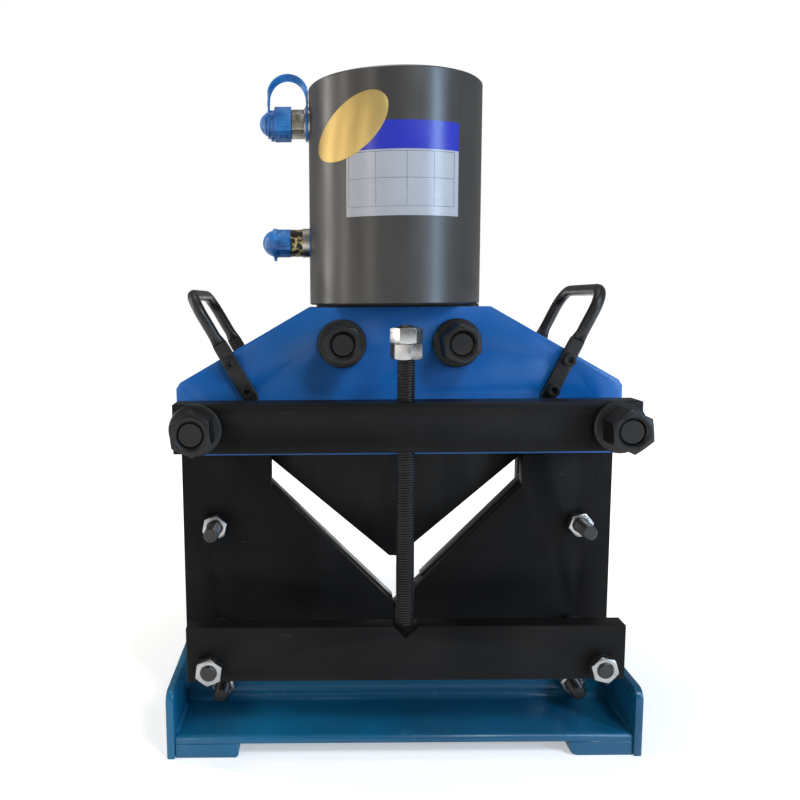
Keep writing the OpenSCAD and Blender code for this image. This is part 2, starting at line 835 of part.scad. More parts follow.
// A dust cap from its open end: hex body, ring and dome, hollow for the coupling's thread
module dust_cap(index, male_len) {
    hex_len = cap_hex[index];
    ring_r = cap_ring_r[index];
    dome_r = ring_r - cap_wall / 2;
    difference() {
        union() {
            cylinder(r = cap_af[index] / sqrt(3), h = hex_len, $fn = 6);
            translate([0, 0, hex_len]) cylinder(r = ring_r, h = cap_ring_len);
            translate([0, 0, hex_len + cap_ring_len]) rotate_extrude() intersection() {
                square([dome_r, cap_dome_len]);
                translate([0, -dome_r + cap_dome_len]) circle(r = dome_r);
            }
            translate([0, 0, cap_ring_len / 2 + hex_len]) rotate([0, 0, 180]) rotate([0, 90, 0])
                cylinder(r = cap_nub_r, h = ring_r + cap_nub_h);
        }
        translate([0, 0, -over]) cylinder(r = male_r + run_gap, h = male_len + cap_gap + over);
    }
}

module upper_dust_cap() color([0.1, 0.42, 0.72])
    on_port(upper_port_z) translate([0, 0, upper_parts[0] + upper_parts[1] + cap_gap])
        dust_cap(0, upper_parts[2]);
module lower_dust_cap() color([0.1, 0.42, 0.72])
    on_port(lower_port_z) translate([0, 0, lower_parts[0] + lower_parts[1] + cap_gap])
        dust_cap(1, lower_parts[2]);

// A flat ring round a coupling's axis
module flat_ring(z, r_in, r_out, t) {
    translate([0, 0, z]) difference() {
        cylinder(r = r_out, h = t);
        translate([0, 0, -over]) cylinder(r = r_in, h = t + 2 * over);
    }
}

// The strap that keeps the upper cap: a ring on the cap, a band in an arch and a ring on the washer
module cap_strap() {
    far_z = upper_parts[0] + upper_parts[1] + cap_gap + cap_hex[0] + cap_ring_len + cap_gap;
    far_in = cap_ring_r[0] - cap_wall / 2 + cap_gap;
    far_out = far_in + strap_ring_wall + cap_gap;
    near_in = seat_r + cap_gap;
    near_out = near_in + strap_ring_wall;
    near_z = seat_deep + cap_gap;
    near_mid = near_z + strap_ring_t / 2;
    arch_r = (far_z + strap_t / 2 - near_mid) / 2;
    top = near_out + strap_rise;
    color([0.08, 0.3, 0.62]) on_port(upper_port_z) {
        flat_ring(near_z, near_in, near_out, strap_ring_t);
        flat_ring(far_z, far_in, far_out, strap_t);
        translate([near_out - strap_ring_wall / 2, -strap_w / 2, near_mid - strap_t / 2])
            cube([top - near_out + strap_ring_wall / 2, strap_w, strap_t]);
        translate([far_out - strap_ring_wall / 2, -strap_w / 2, far_z])
            cube([top - far_out + strap_ring_wall / 2, strap_w, strap_t]);
        translate([top, strap_w / 2, near_mid + arch_r]) rotate([90, 0, 0]) rotate([0, 0, -90])
            rotate_extrude(angle = 180) translate([arch_r - strap_t / 2, 0]) square([strap_t, strap_w]);
    }
}

module lower_strap_ring() color([0.08, 0.3, 0.62]) on_port(lower_port_z)
    flat_ring(0, port_r + thread_gap, seat_r + hole_gap / 2, seat_ring_t);

// A thin shell round the cylinder, from one radius to another
module sticker_shell(r, low, high) {
    translate([0, 0, low]) difference() {
        cylinder(r = r + sticker_t, h = high - low);
        translate([0, 0, -over]) cylinder(r = r, h = high - low + 2 * over);
    }
}

module table_label() {
    color([0.85, 0.86, 0.86]) at_mid() intersection() {
        sticker_shell(cyl_r + sticker_gap, label_low, label_high);
        translate([0, 0, label_low - over]) linear_extrude(label_high - label_low + 2 * over) polygon([
            [0, 0], [2 * cyl_r * sin(label_left), -2 * cyl_r * cos(label_left)],
            [0, -2 * cyl_r], [2 * cyl_r * sin(label_right), -2 * cyl_r * cos(label_right)]
        ]);
    }
}

module oval_sticker() {
    color([0.72, 0.6, 0.3]) at_mid() intersection() {
        sticker_shell(cyl_r + sticker_t + 2 * sticker_gap, oval_z - 2 * oval_long, oval_z + oval_long);
        translate([oval_x, 0, oval_z]) rotate([90, 0, 0]) rotate([0, 0, -oval_tilt])
            linear_extrude(2 * cyl_r) polygon([for (i = [0 : oval_points - 1])
                [oval_long * cos(i * 360 / oval_points), oval_short * sin(i * 360 / oval_points)]]);
    }
}

module piston_rod() {
    color([0.8, 0.8, 0.8]) at_mid() difference() {
        union() {
            translate([0, 0, blade_top]) cylinder(r = rod_r, h = piston_bottom - blade_top);
            translate([0, 0, piston_bottom - over]) cylinder(r = spigot_r, h = piston_h - chamfer + over);
        }
        translate([-rod_r - over, -blade_t / 2 - slide_gap, blade_top - over])
            cube([2 * rod_r + 2 * over, blade_t + 2 * slide_gap, tang_h + over + slide_gap]);
        y_hole(0, pin_z, pin_d / 2 + run_gap);
    }
}

module piston() {
    nut_z = piston_top - piston_nut_h - chamfer;
    color([0.45, 0.45, 0.47]) at_mid() difference() {
        translate([0, 0, piston_bottom]) cylinder(r = bore_r - run_gap, h = piston_h);
        translate([0, 0, piston_bottom - over]) cylinder(r = spigot_r + run_gap, h = piston_h + 2 * over);
        translate([0, 0, nut_z]) cylinder(r = piston_nut_room, h = piston_top - nut_z + over);
        translate([0, 0, piston_ring_z]) difference() {
            cylinder(r = bore_r + over, h = ring_h);
            translate([0, 0, -over]) cylinder(r = bore_r - ring_deep, h = ring_h + 2 * over);
        }
    }
}

module piston_seal() color([0.1, 0.2, 0.45])
    ring(piston_ring_z, ring_h, bore_r - ring_deep, bore_r - run_gap);

module piston_nut() {
    color([0.2, 0.2, 0.2]) at_mid() translate([0, 0, piston_top - piston_nut_h - chamfer])
        hex_nut(piston_nut_af, piston_nut_h, spigot_r + thread_gap);
}

module blade_pin() {
    color([0.7, 0.7, 0.7]) at_mid() translate([0, pin_len / 2, pin_z]) rotate([90, 0, 0])
        cylinder(r = pin_d / 2, h = pin_len);
}

module moving_blade() {
    color([0.13, 0.13, 0.13]) at_mid() difference() {
        plate(-blade_t / 2, blade_t) {
            polygon([
                [-tip_half, tip_z], [tip_half, tip_z], [blade_half, blade_side_z], [blade_half, blade_top],
                [tang_w / 2, blade_top], [tang_w / 2, blade_top + tang_h],
                [-tang_w / 2, blade_top + tang_h], [-tang_w / 2, blade_top],
                [-blade_half, blade_top], [-blade_half, blade_side_z]
            ]);
        }
        y_hole(0, pin_z, pin_d / 2 + run_gap);
    }
}

module hold_down_screw() {
    color([0.09, 0.09, 0.09]) at_mid() translate([0, -screw_y, screw_tip_z]) {
        cylinder(r1 = screw_d / 2 - tip_chamfer, r2 = screw_d / 2, h = tip_chamfer);
        translate([0, 0, tip_chamfer]) cylinder(r = screw_d / 2, h = screw_len - tip_chamfer - chamfer);
        translate([0, 0, screw_len - chamfer])
            cylinder(r1 = screw_d / 2, r2 = screw_d / 2 - chamfer, h = chamfer);
    }
}

module jam_nuts() {
    color([0.75, 0.75, 0.73]) at_mid() for (i = [1, 2])
        translate([0, -screw_y, jam_top - i * jam_h]) rotate([0, 0, i * 30])
            hex_nut(jam_af, jam_h, screw_d / 2 + run_gap, true);
}

front_head_plate();
rear_head_plate();
front_die_plate();
rear_die_plate();
left_guide();
right_guide();
bottom_spacer();
left_fixed_blade();
right_fixed_blade();
fixed_blade_screws();
front_base_angle();
rear_base_angle();
left_end_plate();
right_end_plate();
left_foot_bar();
right_foot_bar();
cylinder_barrel();
cylinder_foot();
cylinder_cover();
cover_seal();
guide_bush();
rod_seal();
gland_ring();
rod_wiper();
head_studs();
corner_studs();
collar_nuts();
crossbar();
crossbar_sleeves();
support_bar();
support_studs();
die_studs();
clamp_nuts();
left_handle();
right_handle();
handle_screws();
upper_coupling();
upper_coupling_washer();
lower_coupling();
lower_coupling_collar();
lower_strap_ring();
cap_strap();
table_label();
oval_sticker();
piston_rod();
piston();
piston_seal();
piston_nut();
blade_pin();
moving_blade();
hold_down_screw();
jam_nuts();
upper_dust_cap();
lower_dust_cap();
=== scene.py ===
"""Looks for a free-standing hydraulic cutter for angle iron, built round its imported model."""

import json
import math

import bmesh
import bpy
from mathutils import Matrix, Vector, noise

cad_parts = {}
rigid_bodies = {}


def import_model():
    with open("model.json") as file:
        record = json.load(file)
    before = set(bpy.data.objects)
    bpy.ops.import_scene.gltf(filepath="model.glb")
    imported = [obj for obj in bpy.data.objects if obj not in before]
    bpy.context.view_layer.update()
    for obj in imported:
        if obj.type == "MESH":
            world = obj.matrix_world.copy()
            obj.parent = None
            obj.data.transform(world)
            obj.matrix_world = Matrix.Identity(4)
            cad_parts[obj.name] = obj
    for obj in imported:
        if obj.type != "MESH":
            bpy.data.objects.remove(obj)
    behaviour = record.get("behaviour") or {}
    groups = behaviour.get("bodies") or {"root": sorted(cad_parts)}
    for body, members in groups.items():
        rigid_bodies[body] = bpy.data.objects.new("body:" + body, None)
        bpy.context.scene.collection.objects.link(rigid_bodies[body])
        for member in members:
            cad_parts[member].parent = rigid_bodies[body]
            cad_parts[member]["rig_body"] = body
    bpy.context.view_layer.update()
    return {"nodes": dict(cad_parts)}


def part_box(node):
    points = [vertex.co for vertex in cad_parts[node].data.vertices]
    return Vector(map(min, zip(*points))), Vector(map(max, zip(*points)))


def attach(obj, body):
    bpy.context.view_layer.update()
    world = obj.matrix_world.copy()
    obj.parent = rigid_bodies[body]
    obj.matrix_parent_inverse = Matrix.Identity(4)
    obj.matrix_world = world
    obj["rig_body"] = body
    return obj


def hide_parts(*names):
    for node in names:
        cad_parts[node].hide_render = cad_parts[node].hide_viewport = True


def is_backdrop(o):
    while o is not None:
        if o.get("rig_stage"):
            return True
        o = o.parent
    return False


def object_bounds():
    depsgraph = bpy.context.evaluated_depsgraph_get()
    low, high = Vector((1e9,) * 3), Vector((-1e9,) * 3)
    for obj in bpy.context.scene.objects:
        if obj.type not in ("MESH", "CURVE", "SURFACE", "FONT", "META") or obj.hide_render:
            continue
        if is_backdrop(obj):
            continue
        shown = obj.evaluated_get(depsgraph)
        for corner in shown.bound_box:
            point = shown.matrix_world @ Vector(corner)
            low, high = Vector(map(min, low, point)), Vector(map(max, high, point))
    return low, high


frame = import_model()
nodes = frame["nodes"]


def box_of(node):
    """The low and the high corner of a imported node."""
    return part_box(node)


# Camera

camera_data = bpy.data.cameras.new("photo_camera")
camera = bpy.data.objects.new("photo_camera", camera_data)
bpy.context.scene.collection.objects.link(camera)
bpy.context.scene.camera = camera
camera_data.sensor_width = 36
camera_data.lens = 36.05
camera_data.shift_x = 0.0999
camera_data.clip_start = 0.02
camera_data.clip_end = 60

pitch, yaw, roll = 0.123, -0.002, 0.008
ahead = Vector((math.sin(yaw) * math.cos(pitch), math.cos(yaw) * math.cos(pitch), -math.sin(pitch)))
level_right = Vector((math.cos(yaw), -math.sin(yaw), 0))
level_down = ahead.cross(level_right)
right = math.cos(roll) * level_right + math.sin(roll) * level_down
down = math.cos(roll) * level_down - math.sin(roll) * level_right
camera_turn = Matrix((right, -down, -ahead)).transposed().to_4x4()
camera_place = (-0.08035, -0.86375, 0.4577)
camera.matrix_world = Matrix.Translation(camera_place) @ camera_turn


# Mesh tools


def alone(piece):
    """Only this piece is selected and active."""
    if bpy.context.mode != "OBJECT":
        bpy.ops.object.mode_set(mode="OBJECT")
    bpy.ops.object.select_all(action="DESELECT")
    piece.select_set(True)
    bpy.context.view_layer.objects.active = piece


def copied(node, name):
    """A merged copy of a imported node's mesh, with its flat faces whole again."""
    piece = bpy.data.objects.new(name, nodes[node].data.copy())
    bpy.context.scene.collection.objects.link(piece)
    piece.data.materials.clear()
    alone(piece)
    bpy.ops.object.mode_set(mode="EDIT")
    bpy.ops.mesh.select_all(action="SELECT")
    bpy.ops.mesh.remove_doubles(threshold=0.000005)
    bpy.ops.mesh.dissolve_limited(angle_limit=math.radians(0.3))
    bpy.ops.object.mode_set(mode="OBJECT")
    return piece


def bevelled(piece, width, segments=2, angle=35):
    """Breaks the sharp edges."""
    alone(piece)
    edge = piece.modifiers.new("edges", "BEVEL")
    edge.width = width
    edge.segments = segments
    edge.limit_method = "ANGLE"
    edge.angle_limit = math.radians(angle)
    edge.use_clamp_overlap = True
    edge.miter_outer = "MITER_ARC"
    bpy.ops.object.modifier_apply(modifier=edge.name)
    bpy.ops.object.shade_smooth_by_angle(angle=math.radians(32))
    return piece


def dressed(node, width, material, segments=2, before=None):
    """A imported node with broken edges, standing for that node."""
    body = nodes[node]["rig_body"]
    piece = copied(node, node + "_shape")
    if before:
        before(piece)
    bevelled(piece, width, segments)
    piece.data.materials.append(material)
    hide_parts(node)
    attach(piece, body)
    return piece


def threaded_rod(name, radius, pitch_len, low, high, steps=24, chamfer=0.0015):
    """A rod along Z with a real helical thread between two heights, closed at both ends."""
    root = radius - 0.6 * pitch_len
    bpy.ops.object.select_all(action="DESELECT")
    bpy.ops.mesh.primitive_plane_add(size=pitch_len, location=(0, 0, 0))
    piece = bpy.context.object
    piece.name = name
    bpy.ops.object.mode_set(mode="EDIT")
    mesh = bmesh.from_edit_mesh(piece.data)
    mesh.verts.ensure_lookup_table()
    bmesh.ops.delete(mesh, geom=[v for v in mesh.verts if v.co.x > 0], context="VERTS")
    bmesh.ops.subdivide_edges(mesh, edges=mesh.edges[:], cuts=3)
    tooth = [(root, 0), (radius, 0.40), (radius, 0.56), (root, 0.9), (root, 1.0)]
    verts = sorted(mesh.verts, key=lambda v: v.co.y)
    for vert, (r, share) in zip(verts, tooth):
        vert.co = (r, 0, share * pitch_len)
    bmesh.update_edit_mesh(piece.data)
    bpy.ops.object.mode_set(mode="OBJECT")
    spare_turns = 4
    turns = int((high - low) / pitch_len) + spare_turns
    screw = piece.modifiers.new("thread", "SCREW")
    screw.axis = "Z"
    screw.angle = 2 * math.pi
    screw.screw_offset = pitch_len
    screw.iterations = turns
    screw.steps = steps
    screw.render_steps = steps
    screw.use_normal_calculate = True
    alone(piece)
    bpy.ops.object.modifier_apply(modifier=screw.name)
    bpy.ops.object.mode_set(mode="EDIT")
    bpy.ops.mesh.select_all(action="SELECT")
    bpy.ops.transform.translate(value=(0, 0, low - spare_turns / 2 * pitch_len))
    bpy.ops.mesh.remove_doubles(threshold=0.00002)
    for height, side in ((low, -1), (high, 1)):
        bpy.ops.mesh.select_all(action="SELECT")
        bpy.ops.mesh.bisect(
            plane_co=(0, 0, height), plane_no=(0, 0, side), use_fill=True, clear_outer=True, clear_inner=False
        )
    bpy.ops.mesh.select_all(action="SELECT")
    bpy.ops.mesh.normals_make_consistent(inside=False)
    mesh = bmesh.from_edit_mesh(piece.data)
    for vert in mesh.verts:
        room = radius - chamfer + min(vert.co.z - low, high - vert.co.z)
        r = math.hypot(vert.co.x, vert.co.y)
        if r > room:
            vert.co.x *= room / r
            vert.co.y *= room / r
    bmesh.update_edit_mesh(piece.data)
    bpy.ops.object.mode_set(mode="OBJECT")
    bpy.ops.object.shade_smooth_by_angle(angle=math.radians(25))
    return piece


def along_y(piece, x, y_low, z):
    """A rod made from z = 0 upwards is laid along +Y from y_low."""
    piece.data.transform(Matrix.Translation((x, y_low, z)) @ Matrix.Rotation(math.radians(-90), 4, "X"))
    return piece


def swept(name, sections):
    """A closed solid: a filled ring of points, extruded from section to section."""
    count = len(sections[0])
    bpy.ops.object.select_all(action="DESELECT")
    bpy.ops.mesh.primitive_circle_add(vertices=count, radius=1, fill_type="NGON")
    piece = bpy.context.object
    piece.name = name
    bpy.ops.object.mode_set(mode="EDIT")
    mesh = bmesh.from_edit_mesh(piece.data)
    mesh.verts.ensure_lookup_table()
    for vert, point in zip(mesh.verts, sections[0]):
        vert.co = point
    bmesh.update_edit_mesh(piece.data)
    bpy.ops.mesh.select_all(action="SELECT")
    before = sections[0]
    for section in sections[1:]:
        bpy.ops.mesh.extrude_region_move()
        mesh = bmesh.from_edit_mesh(piece.data)
        for vert in [v for v in mesh.verts if v.select]:
            nearest = min(range(count), key=lambda i: (before[i] - vert.co).length_squared)
            vert.co = section[nearest]
        bmesh.update_edit_mesh(piece.data)
        before = section
    bpy.ops.mesh.select_all(action="SELECT")
    bpy.ops.mesh.normals_make_consistent(inside=False)
    bpy.ops.object.mode_set(mode="OBJECT")
    alone(piece)
    bpy.ops.object.shade_smooth_by_angle(angle=math.radians(35))
    return piece


def islands(piece):
    """The piece's separate solids, each as a list of vertex numbers."""
    links = [[] for _ in piece.data.vertices]
    for edge in piece.data.edges:
        a, b = edge.vertices
        links[a].append(b)
        links[b].append(a)
    seen, groups = set(), []
    for start in range(len(links)):
        if start in seen:
            continue
        group, stack = [], [start]
        seen.add(start)
        while stack:
            here = stack.pop()
            group.append(here)
            for there in links[here]:
                if there not in seen:
                    seen.add(there)
                    stack.append(there)
        groups.append(group)
    return groups


def spun(piece, axis, angle_of):
    """Each separate solid turns about its own middle, as a nut stops where it was tightened."""
    verts = piece.data.vertices
    for group in islands(piece):
        low = Vector([min(verts[i].co[k] for i in group) for k in range(3)])
        high = Vector([max(verts[i].co[k] for i in group) for k in range(3)])
        middle = (low + high) / 2
        turn = Matrix.Rotation(math.radians(angle_of(middle)), 3, axis)
        for i in group:
            verts[i].co = middle + turn @ (verts[i].co - middle)


def joined(name, pieces):
    """Several pieces become one."""
    alone(pieces[0])
    for piece in pieces[1:]:
        piece.select_set(True)
    bpy.ops.object.join()
    pieces[0].name = name
    return pieces[0]


# Finishes


class Finish:
    """A procedural finish: a shader and a few patterns on Object coordinates."""

    def __init__(self, name, colour, metallic=0.0, rough=0.45, gloss=0.5, coat=0.0, coat_rough=0.1):
        self.material = bpy.data.materials.new(name)
        self.material.use_nodes = True
        tree = self.material.node_tree
        self.nodes, self.links = tree.nodes, tree.links
        self.shader = self.nodes["Principled BSDF"]
        self.shader.inputs["Base Color"].default_value = (*colour, 1)
        self.shader.inputs["Metallic"].default_value = metallic
        self.shader.inputs["Roughness"].default_value = rough
        self.shader.inputs["Specular IOR Level"].default_value = gloss
        self.shader.inputs["Coat Weight"].default_value = coat
        self.shader.inputs["Coat Roughness"].default_value = coat_rough
        self.where = self.nodes.new("ShaderNodeTexCoord")
        self.bump_in = None

    def pattern(self, scale, detail=4.0, stretch=(1, 1, 1), low=0.35, high=0.65):
        """Noise from 0 to 1."""
        place = self.nodes.new("ShaderNodeMapping")
        place.inputs["Scale"].default_value = stretch
        self.links.new(self.where.outputs["Object"], place.inputs["Vector"])
        cloud = self.nodes.new("ShaderNodeTexNoise")
        cloud.inputs["Scale"].default_value = scale
        cloud.inputs["Detail"].default_value = detail
        self.links.new(place.outputs["Vector"], cloud.inputs["Vector"])
        spread = self.nodes.new("ShaderNodeMapRange")
        spread.inputs["From Min"].default_value = low
        spread.inputs["From Max"].default_value = high
        self.links.new(cloud.outputs["Fac"], spread.inputs["Value"])
        return spread.outputs["Result"]

    def colours(self, factor, first, second):
        """The base colour runs from the first to the second, over what was there before."""
        mix = self.nodes.new("ShaderNodeMix")
        mix.data_type = "RGBA"
        mix.inputs["A"].default_value = (*first, 1) if first else (0, 0, 0, 1)
        mix.inputs["B"].default_value = (*second, 1)
        base = self.shader.inputs["Base Color"]
        if not first and base.is_linked:
            self.links.new(base.links[0].from_socket, mix.inputs["A"])
        elif not first:
            mix.inputs["A"].default_value = base.default_value
        self.links.new(factor, mix.inputs["Factor"])
        self.links.new(mix.outputs["Result"], base)
        return self

    def roughness(self, factor, low, high):
        """The roughness runs from low to high."""
        span = self.nodes.new("ShaderNodeMapRange")
        span.inputs["To Min"].default_value = low
        span.inputs["To Max"].default_value = high
        self.links.new(factor, span.inputs["Value"])
        self.links.new(span.outputs["Result"], self.shader.inputs["Roughness"])
        return self

    def bump(self, factor, distance, strength=1.0):
        """One more layer of relief, over the layers already there."""
        lift = self.nodes.new("ShaderNodeBump")
        lift.inputs["Distance"].default_value = distance
        lift.inputs["Strength"].default_value = strength
        self.links.new(factor, lift.inputs["Height"])
        if self.bump_in is not None:
            self.links.new(self.bump_in, lift.inputs["Normal"])
        self.bump_in = lift.outputs["Normal"]
        self.links.new(self.bump_in, self.shader.inputs["Normal"])
        return self

    def scratches(self, scale, stretch, colour, amount=0.62):
        """Thin scratches in one direction, in their own colour."""
        line = self.pattern(scale, 6.0, stretch, amount, amount + 0.06)
        return self.colours(line, None, colour)


def enamel(name, colour, shade, dust, wear=0.0):
    """Blue enamel over steel: slight orange peel, large lighter and darker clouds that are partly uneven
    paint tone and partly painted reflections and shade, and some dust.
    """
    f = Finish(name, colour, rough=0.36, gloss=0.30, coat=0.12, coat_rough=0.2)
    # The large clouds from colour to shade are partly uneven paint tone and partly painted reflections and
    # shade.
    f.colours(f.pattern(5, 3, low=0.36, high=0.74), colour, shade)
    f.colours(f.pattern(34, 8, (1, 1, 0.5), 0.66, 0.90), None, dust)
    f.roughness(f.pattern(22, 6), 0.26, 0.46)
    f.bump(f.pattern(420, 2, low=0.2, high=0.8), 0.00012, 0.35)
    f.bump(f.pattern(60, 4, low=0.2, high=0.8), 0.00025, 0.25)
    if wear:
        f.scratches(70, (1, 1, 0.12), (0.28, 0.30, 0.31), 0.78 - wear)
    return f


def blackened(name, colour, light, rough=(0.36, 0.55), grain=(1, 1, 1), gloss=0.28):
    """Blackened steel with faint clouds, a directed grain and hairline scratches."""
    f = Finish(name, colour, metallic=0.0, gloss=gloss)
    f.colours(f.pattern(14, 6, low=0.40, high=0.72), colour, light)
    f.scratches(160, grain, (0.05, 0.05, 0.048), 0.70)
    f.roughness(f.pattern(30, 6, grain), *rough)
    f.bump(f.pattern(240, 4, grain, 0.2, 0.8), 0.00010, 0.35)
    return f


def plated(name, colour, light, rough=(0.16, 0.34)):
    """Zinc-plated steel."""
    f = Finish(name, colour, metallic=1.0, gloss=0.5)
    f.colours(f.pattern(60, 4, low=0.3, high=0.7), colour, light)
    f.roughness(f.pattern(180, 6), *rough)
    f.bump(f.pattern(500, 3, low=0.2, high=0.8), 0.00003, 0.25)
    return f


# The head's darker cloud colour is partly faded paint and partly painted shade from reflections.
head_blue = enamel("head_blue", (0.003, 0.120, 0.43), (0.006, 0.080, 0.25), (0.010, 0.14, 0.46))
# The base's strong contrast between its lighter and darker clouds is painted reflection and shade.
base_blue = enamel("base_blue", (0.006, 0.135, 0.27), (0.003, 0.065, 0.135), (0.04, 0.19, 0.30), 0.02)
base_blue.shader.inputs["Coat Weight"].default_value = 0.35
plate_black = blackened(
    "plate_black", (0.004, 0.004, 0.004), (0.009, 0.008, 0.008), (0.42, 0.60), (0.2, 1, 1), 0.12
)
bar_black = blackened(
    "bar_black", (0.004, 0.004, 0.004), (0.009, 0.008, 0.008), (0.38, 0.54), (0.12, 1, 1), 0.13
)
blade_black = blackened(
    "blade_black", (0.006, 0.006, 0.006), (0.012, 0.011, 0.010), (0.34, 0.50), (1, 1, 0.15), 0.14
)
fixed_blade_steel = blackened(
    "fixed_blade_steel", (0.012, 0.011, 0.010), (0.026, 0.022, 0.019), (0.26, 0.42), (1, 0.1, 1), 0.6
)
nut_black = blackened(
    "nut_black", (0.007, 0.007, 0.007), (0.014, 0.013, 0.012), (0.30, 0.46), (1, 1, 1), 0.3
)
screw_black = blackened(
    "screw_black", (0.008, 0.008, 0.008), (0.016, 0.015, 0.014), (0.26, 0.42), (1, 1, 1), 0.5
)
handle_black = blackened(
    "handle_black", (0.007, 0.007, 0.007), (0.013, 0.012, 0.012), (0.30, 0.42), (1, 1, 1), 0.4
)

# The barrel's vertical streaks in its colour, and its long light scratches, are partly paint wear and partly
# painted reflection streaks.
barrel_grey = Finish("barrel_grey", (0.07, 0.068, 0.062), gloss=0.5, coat=0.15, coat_rough=0.25)
barrel_grey.colours(
    barrel_grey.pattern(5, 4, (1, 1, 0.25), 0.35, 0.7), (0.040, 0.037, 0.033), (0.030, 0.029, 0.028)
)
barrel_grey.colours(barrel_grey.pattern(26, 7, (1, 1, 0.6), 0.62, 0.86), None, (0.058, 0.052, 0.044))
barrel_grey.scratches(90, (1, 1, 0.08), (0.14, 0.13, 0.12), 0.74)
barrel_grey.roughness(barrel_grey.pattern(40, 6, (1, 1, 0.3)), 0.30, 0.44)
barrel_grey.bump(barrel_grey.pattern(300, 3, low=0.2, high=0.8), 0.00010, 0.3)

zinc = plated("zinc", (0.33, 0.33, 0.33), (0.46, 0.46, 0.45), (0.24, 0.36))
dull_zinc = plated("dull_zinc", (0.30, 0.28, 0.23), (0.48, 0.45, 0.38), (0.26, 0.44))
ground_steel = plated("ground_steel", (0.34, 0.34, 0.34), (0.46, 0.46, 0.45), (0.20, 0.34))
hard_chrome = plated("hard_chrome", (0.62, 0.62, 0.63), (0.70, 0.70, 0.70), (0.06, 0.14))
bronze = plated("bronze", (0.48, 0.30, 0.12), (0.58, 0.38, 0.17), (0.22, 0.36))

tape = Finish("thread_tape", (0.30, 0.22, 0.08), metallic=0.6, gloss=0.5)
tape.colours(tape.pattern(190, 5, (1, 1, 1), 0.51, 0.60), (0.015, 0.014, 0.010), (0.50, 0.41, 0.20))
tape.roughness(tape.pattern(300, 4), 0.25, 0.6)
tape.bump(tape.pattern(420, 4, low=0.2, high=0.8), 0.0004, 0.7)

cap_blue = Finish("cap_blue", (0.02, 0.18, 0.50), rough=0.3, gloss=0.5, coat=0.1)
cap_blue.colours(cap_blue.pattern(45, 3, (1, 1, 1), 0.35, 0.6), (0.010, 0.095, 0.33), (0.024, 0.21, 0.60))
cap_blue.roughness(cap_blue.pattern(200, 4), 0.26, 0.42)
cap_blue.bump(cap_blue.pattern(500, 3, low=0.2, high=0.8), 0.00008, 0.4)

rubber = Finish("seal_rubber", (0.02, 0.02, 0.02), rough=0.6)
rubber.colours(rubber.pattern(200, 3), (0.018, 0.018, 0.018), (0.03, 0.03, 0.03))
seal_blue = Finish("seal_blue", (0.02, 0.06, 0.25), rough=0.4)
seal_blue.colours(seal_blue.pattern(200, 3), (0.02, 0.06, 0.25), (0.03, 0.08, 0.3))


def label_finish():
    """White film with a blue header band and the empty lines of a table, placed by height and width."""
    low, high = box_of("table_label")
    f = Finish("label_film", (0.42, 0.43, 0.45), rough=0.30, gloss=0.5)
    split = f.nodes.new("ShaderNodeSeparateXYZ")
    f.links.new(f.where.outputs["Object"], split.inputs["Vector"])

    def maths(kind, a, b=None):
        node = f.nodes.new("ShaderNodeMath")
        node.operation = kind
        for socket, value in zip(node.inputs, (a, b)):
            if value is None:
                continue
            if isinstance(value, (int, float)):
                socket.default_value = value
            else:
                f.links.new(value, socket)
        return node.outputs["Value"]

    z, x = split.outputs["Z"], split.outputs["X"]

    def line(value, at, half):
        return maths("LESS_THAN", maths("ABSOLUTE", maths("SUBTRACT", value, at)), half)

    def more(value, at):
        return maths("GREATER_THAN", value, at)

    height = high.z - low.z
    header_share, row_shares = 0.30, (0.10, 0.40, 0.68)
    columns = (-0.0520, -0.0262, 0.0040, 0.0310, 0.0520)
    table_half, line_half = 0.0522, 0.00032
    f.colours(more(z, high.z - header_share * height), (0.42, 0.43, 0.46), (0.022, 0.032, 0.40))
    inside = line(x, 0.0, table_half)
    lines = None
    for share in row_shares:
        one = maths("MULTIPLY", line(z, low.z + share * height, line_half), inside)
        lines = one if lines is None else maths("MAXIMUM", lines, one)
    table_middle = low.z + (row_shares[0] + row_shares[-1]) / 2 * height
    table_reach = (row_shares[-1] - row_shares[0]) / 2 * height
    for at in columns:
        one = maths("MULTIPLY", line(x, at, line_half), line(z, table_middle, table_reach))
        lines = maths("MAXIMUM", lines, one)
    f.colours(lines, None, (0.12, 0.13, 0.16))
    clouds = f.pattern(12, 2, low=0.40, high=0.95)
    below_header = maths("LESS_THAN", z, high.z - (header_share + 0.01) * height)
    f.colours(maths("MULTIPLY", clouds, below_header), None, (0.36, 0.37, 0.40))
    f.roughness(f.pattern(20, 2), 0.25, 0.31)
    f.bump(f.pattern(30, 2, low=0.2, high=0.8), 0.00012, 0.3)
    return f


def foil_finish():
    """Gold film with lighter and darker streaks along its height, painted reflection streaks."""
    f = Finish("gold_film", (0.50, 0.34, 0.11), metallic=0.55, rough=0.38, gloss=0.5)
    # Upright streaks of lighter and darker gold: painted reflection streaks.
    f.colours(f.pattern(14, 4, (1, 1, 0.3)), (0.56, 0.40, 0.14), (0.44, 0.29, 0.08))
    f.roughness(f.pattern(9, 2, (1, 1, 0.3)), 0.34, 0.42)
    return f


label_film = label_finish()
gold_film = foil_finish()

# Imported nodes


def nut_angle(place):
    """The angle in degrees at which a clamp nut was left."""
    before_support_bar = -0.08
    if place.y < before_support_bar:
        return 38 if place.x < 0 else 14
    return 17 + 29 * math.sin(place.x * 90 + place.z * 61 + place.y * 37)


def turned_clamp_nuts(piece):
    spun(piece, "Y", nut_angle)


def turned_jam_nuts(piece):
    middle = sum(v.co.z for v in piece.data.vertices) / len(piece.data.vertices)
    spun(piece, "Z", lambda place: -28 if place.z > middle else 41)


def turned_collar_nuts(piece):
    spun(piece, "Y", lambda place: 25 * math.sin(place.x * 47 + place.y * 13))


